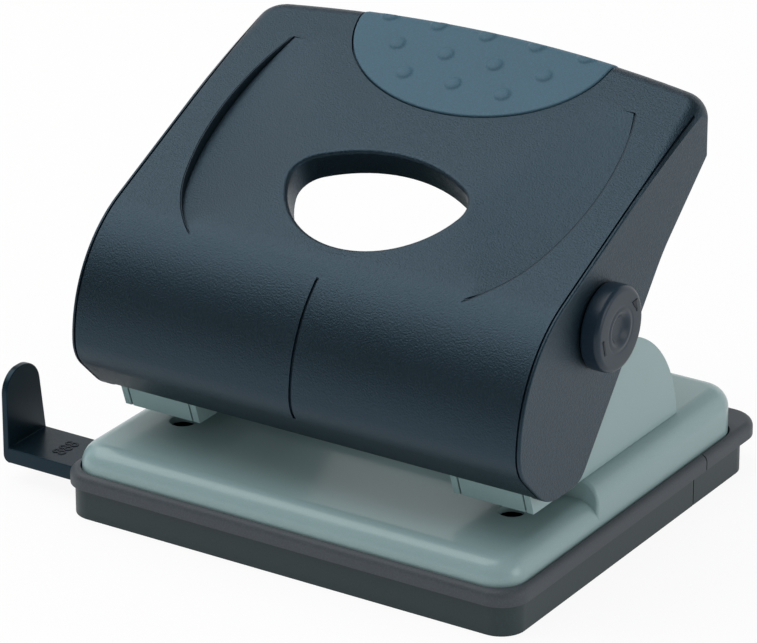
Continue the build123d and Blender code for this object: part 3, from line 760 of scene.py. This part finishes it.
def knob_bar(name, angle, size):
    """A bar that lies along the knob's rim."""
    bpy.ops.object.select_all(action="DESELECT")
    bpy.ops.mesh.primitive_cube_add(size=1.0, location=on_knob(angle, MARK_R),
                                    rotation=(math.radians(angle + 90), 0, 0))
    bar = bpy.context.object
    bar.scale = (2 * MARK_HIGH * MM, size[0] * MM, size[1] * MM)
    finish_mark(bar, name)


def knob_arrow(name, angle):
    """A three-sided prism that points along the knob's rim."""
    bpy.ops.object.select_all(action="DESELECT")
    bpy.ops.mesh.primitive_cylinder_add(vertices=3, radius=ARROW_R * MM, depth=2 * MARK_HIGH * MM,
                                        location=on_knob(angle, MARK_R), rotation=(0, math.pi / 2, 0))
    arrow = bpy.context.object
    bpy.ops.object.transform_apply(location=False)
    arrow.rotation_euler = (math.radians(angle), 0, 0)
    finish_mark(arrow, name)


knob_bar("knob_bar_mark", BAR_ANGLE, BAR_SIZE)
knob_bar("knob_arrow_stem", ARROW_ANGLE - STEM_BEHIND, STEM_SIZE)
knob_arrow("knob_arrow_mark", ARROW_ANGLE)
print("knob marks on a circle of", MARK_R, "mm")

# %% [markdown]
# The paper guide. A flat arm that slides out of the tray, with an upright stop at its end whose top is
# round. It could be two pieces glued together, but the real one is a single moulding, so one block is cut
# across, its end pulled up into the stop, and the corners rounded.

# %% Paper guide
GUIDE_STOP = 1.4
GUIDE_ARM = 3.3
GUIDE_TAPER = 2.4
GUIDE_TOP_ROUND = 4.9
GUIDE_HEEL_ROUND = 1.6
GUIDE_EDGE = 0.3
GUIDE_ANGLE = 40.0               # degrees from which a bend of the guide counts as an edge
guide_low, guide_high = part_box("paper_guide")
stop_x = guide_low.x + GUIDE_STOP * MM
arm_top = guide_low.z + GUIDE_ARM * MM
stop_top = guide_high.z - NEAR
heel = guide_low + Vector((NEAR, NEAR, NEAR))


def paper_guide():
    bpy.ops.object.select_all(action="DESELECT")
    size = guide_high - guide_low
    size.z = GUIDE_ARM * MM
    bpy.ops.mesh.primitive_cube_add(size=1.0, location=guide_low + size / 2)
    guide = bpy.context.object
    guide.name = "paper_guide_moulded"
    guide.scale = size
    bpy.ops.object.transform_apply()
    edit_all(guide)
    bpy.ops.mesh.bisect(plane_co=(stop_x, 0, 0), plane_no=(1, 0, 0))
    done()
    pick(guide, faces=lambda centre, normal: normal.z > FACING and centre.x < stop_x)
    bpy.ops.mesh.extrude_region_move(TRANSFORM_OT_translate={"value": (0, 0, guide_high.z - arm_top)})
    done()
    pick(guide, edges=lambda a, b: min(a.z, b.z) > stop_top and min(a.y, b.y) > guide_high.y - NEAR)
    bpy.ops.transform.translate(value=(0, -GUIDE_TAPER * MM, 0))
    done()
    pick(guide, edges=lambda a, b: min(a.z, b.z) > stop_top and abs(a.y - b.y) < NEAR)
    bpy.ops.mesh.bevel(offset=GUIDE_TOP_ROUND * MM, segments=14)
    done()
    pick(guide, edges=lambda a, b: max(a.z, b.z) < heel.z and max(a.x, b.x) < heel.x)
    bpy.ops.mesh.bevel(offset=GUIDE_HEEL_ROUND * MM, segments=6)
    done()
    apply_modifier(guide, "BEVEL", width=GUIDE_EDGE * MM, segments=3, limit_method="ANGLE",
                   angle_limit=math.radians(GUIDE_ANGLE))
    smooth(guide, GUIDE_ANGLE)
    place_piece(guide, "paper_guide")
    return guide


print("guide with", len(paper_guide().data.polygons), "faces")

# %% [markdown]
# Numbers on the guide's arm, for a paper size. They are raised by a hair in the moulding. They could be
# painted by the material, but text turned into a mesh has crisp edges from any side.

# %% Guide numbers
DIGITS = "888"
DIGIT_SIZE = 4.5
DIGIT_HIGH = 0.10
DIGIT_INSET = 11.5               # from the guide's outer end


def guide_numbers():
    bpy.ops.object.select_all(action="DESELECT")
    bpy.ops.object.text_add(rotation=(0, 0, math.pi / 2))
    text = bpy.context.object
    text.data.body = DIGITS
    text.data.size = DIGIT_SIZE * MM
    text.data.extrude = DIGIT_HIGH * MM
    text.data.align_x = "CENTER"
    text.data.align_y = "CENTER"
    text.location = (guide_low.x + DIGIT_INSET * MM, (guide_low.y + guide_high.y) / 2, arm_top)
    bpy.ops.object.convert(target="MESH")
    numbers = bpy.context.object
    bpy.ops.object.transform_apply()
    place_mark(numbers, "guide_numbers", "paper_guide")


guide_numbers()
print("numbers", DIGITS)

# %% [markdown]
# The return springs lift the punch pins again. A coil could be drawn as a curve, but a wire's round
# section swept up a screw is the same form in one step. Each end is capped.

# %% Return springs
SPRING_WIRE = 0.8
SPRING_WIRE_SIDES = 14
SPRING_TURNS = 5
SPRING_STEPS = 40                # in one turn
SPRING_ANGLE = 50.0              # degrees, only the cut ends of the wire bend by more


def return_spring(side):
    node = f"{side}_return_spring"
    low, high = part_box(node)
    middle = (low + high) / 2
    wire_r = SPRING_WIRE / 2 * MM
    coil_r = (high.y - low.y) / 2 - wire_r
    bpy.ops.object.select_all(action="DESELECT")
    bpy.ops.mesh.primitive_circle_add(vertices=SPRING_WIRE_SIDES, radius=wire_r, location=(coil_r, 0, 0),
                                      rotation=(math.pi / 2, 0, 0))
    spring = bpy.context.object
    spring.name = f"{side}_return_spring_wire"
    bpy.ops.object.transform_apply()
    rise = (high.z - low.z - 2 * wire_r) / SPRING_TURNS
    apply_modifier(spring, "SCREW", axis="Z", screw_offset=rise, iterations=SPRING_TURNS,
                   steps=SPRING_STEPS, render_steps=SPRING_STEPS, use_merge_vertices=False,
                   use_normal_calculate=True)
    bpy.ops.object.mode_set(mode="EDIT")
    bpy.ops.mesh.select_mode(type="EDGE")
    bpy.ops.mesh.select_all(action="DESELECT")
    bpy.ops.mesh.select_non_manifold()
    bpy.ops.mesh.edge_face_add()
    bpy.ops.mesh.select_all(action="SELECT")
    bpy.ops.mesh.normals_make_consistent(inside=False)
    done()
    spring.location = (middle.x, middle.y, low.z + wire_r)
    focus(spring)
    bpy.ops.object.transform_apply()
    smooth(spring, SPRING_ANGLE)
    place_piece(spring, node)
    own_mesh(spring)
    return spring


for spring_side in ("left", "right"):
    print(spring_side, "spring with", len(return_spring(spring_side).data.polygons), "faces")
